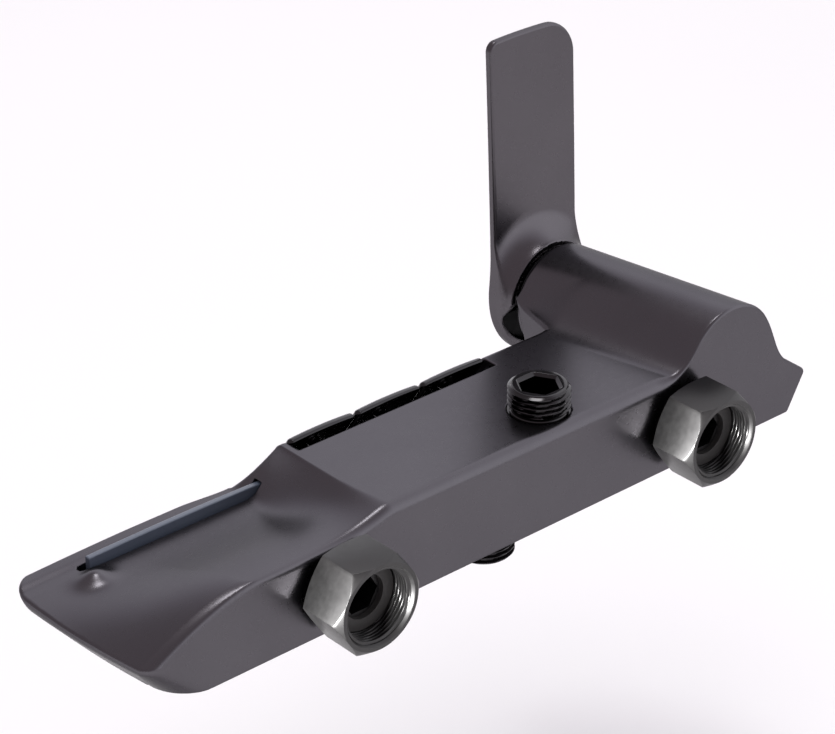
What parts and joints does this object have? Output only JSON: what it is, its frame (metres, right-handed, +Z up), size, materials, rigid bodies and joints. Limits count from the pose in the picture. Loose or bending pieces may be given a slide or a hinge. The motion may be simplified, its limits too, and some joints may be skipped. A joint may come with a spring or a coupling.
{
  "type": "wall mounted bath faucet",
  "caption": "Exposed wall bath mixer with a sculpted body, a slot spout, push keys, a paddle lever on a barrel, threaded outlets and two union nut inlets.",
  "frame": {"origin": "midway between the centres of the two wall connections, in the plane where their union nuts end", "axes": "+X along the body towards the spout end, +Y into the wall, +Z up, the way the faucet stands in its picture, with the flat face down"},
  "size_m": [0.2911, 0.1114, 0.1373],
  "materials": {
    "gunmetal_body": "satin gunmetal plating on cast brass",
    "gunmetal_lever": "satin gunmetal plating",
    "gunmetal_fittings": "satin gunmetal plating on turned brass",
    "black_chrome": "glossy black plating on turned brass",
    "gunmetal_keys": "glossy gunmetal plating on plastic",
    "slate_blade": "satin slate blue-grey",
    "black_plastic": "matt black",
    "black_gasket": "matt",
    "rubber": "matt",
    "bright_steel": "turned",
    "spring_steel": "drawn wire",
    "white_plastic": "moulded",
    "red_plastic": "moulded",
    "ceramic": "lapped",
    "plain_brass": "turned"
  },
  "bodies": {
    "body": {"body_casting": "gunmetal_body", "spout_blade": "slate_blade", "outlet_nipple_top": "black_chrome", "outlet_nipple_bottom": "black_chrome", "nipple_seals": "rubber", "inlet_tail_left": "gunmetal_fittings", "inlet_tail_right": "gunmetal_fittings", "tail_seals": "rubber", "inlet_gaskets": "black_gasket", "check_valve_body_left": "black_plastic", "check_valve_body_right": "black_plastic", "check_spring_left": "spring_steel", "check_spring_right": "spring_steel", "cartridge_base": "white_plastic", "base_seals": "rubber", "fixed_disc": "ceramic", "cartridge_housing": "white_plastic", "clamp_nut": "plain_brass", "trim_ring": "black_plastic", "valve_spring_left": "spring_steel", "valve_spring_middle": "spring_steel", "valve_spring_right": "spring_steel", "valve_sleeve_left": "plain_brass", "valve_sleeve_middle": "plain_brass", "valve_sleeve_right": "plain_brass", "sleeve_seals": "rubber"},
    "temperature": {"cartridge_driver": "white_plastic", "stem_pin": "bright_steel"},
    "lever": {"lever_handle": "gunmetal_lever", "grub_screw": "bright_steel", "screw_cap": "black_plastic", "cartridge_stem": "bright_steel"},
    "disc": {"moving_disc": "ceramic", "disc_carrier": "red_plastic"},
    "key_left": {"key_left": "gunmetal_keys", "valve_stem_left": "bright_steel", "valve_washer_left": "rubber"},
    "key_middle": {"key_middle": "gunmetal_keys", "valve_stem_middle": "bright_steel", "valve_washer_middle": "rubber"},
    "key_right": {"key_right": "gunmetal_keys", "valve_stem_right": "bright_steel", "valve_washer_right": "rubber"},
    "nut_left": {"union_nut_left": "gunmetal_fittings"},
    "poppet_left": {"check_poppet_left": "black_plastic"},
    "nut_right": {"union_nut_right": "gunmetal_fittings"},
    "poppet_right": {"check_poppet_right": "black_plastic"}
  },
  "joints": [
    {"name": "temperature_turn", "type": "hinge", "parent": "body", "child": "temperature", "pos_m": [-0.0882, -0.0944, 0.0139], "axis": [0, -1, 0], "range_deg": [-50, 50]},
    {"name": "lever_tilt", "type": "hinge", "parent": "temperature", "child": "lever", "pos_m": [-0.0882, -0.0774, 0.0139], "axis": [1, 0, 0], "range_deg": [0, 20]},
    {"name": "disc_slide", "type": "slide", "parent": "temperature", "child": "disc", "axis": [0, 0, 1], "range_m": [0, 0.004]},
    {"name": "key_left_press", "type": "slide", "parent": "body", "child": "key_left", "axis": [0, 1, 0], "range_m": [0, 0.003], "stiffness_N_per_m": 1200, "springref_m": -0.002, "deforming": ["valve_spring_left"]},
    {"name": "key_middle_press", "type": "slide", "parent": "body", "child": "key_middle", "axis": [0, 1, 0], "range_m": [0, 0.003], "stiffness_N_per_m": 1200, "springref_m": -0.002, "deforming": ["valve_spring_middle"]},
    {"name": "key_right_press", "type": "slide", "parent": "body", "child": "key_right", "axis": [0, 1, 0], "range_m": [0, 0.003], "stiffness_N_per_m": 1200, "springref_m": -0.002, "deforming": ["valve_spring_right"]},
    {"name": "nut_left_spin", "type": "hinge", "parent": "body", "child": "nut_left", "pos_m": [0.075, -0.01, 0], "axis": [0, 1, 0], "continuous": true},
    {"name": "poppet_left_open", "type": "slide", "parent": "body", "child": "poppet_left", "axis": [0, -1, 0], "range_m": [0, 0.003], "stiffness_N_per_m": 100, "springref_m": -0.001, "deforming": ["check_spring_left"]},
    {"name": "nut_right_spin", "type": "hinge", "parent": "body", "child": "nut_right", "pos_m": [-0.075, -0.01, 0], "axis": [0, 1, 0], "continuous": true},
    {"name": "poppet_right_open", "type": "slide", "parent": "body", "child": "poppet_right", "axis": [0, -1, 0], "range_m": [0, 0.003], "stiffness_N_per_m": 100, "springref_m": -0.001, "deforming": ["check_spring_right"]}
  ],
  "couplings": [
    {"joint": "disc_slide", "follows": "lever_tilt", "m_per_rad": 0.0112}
  ]
}
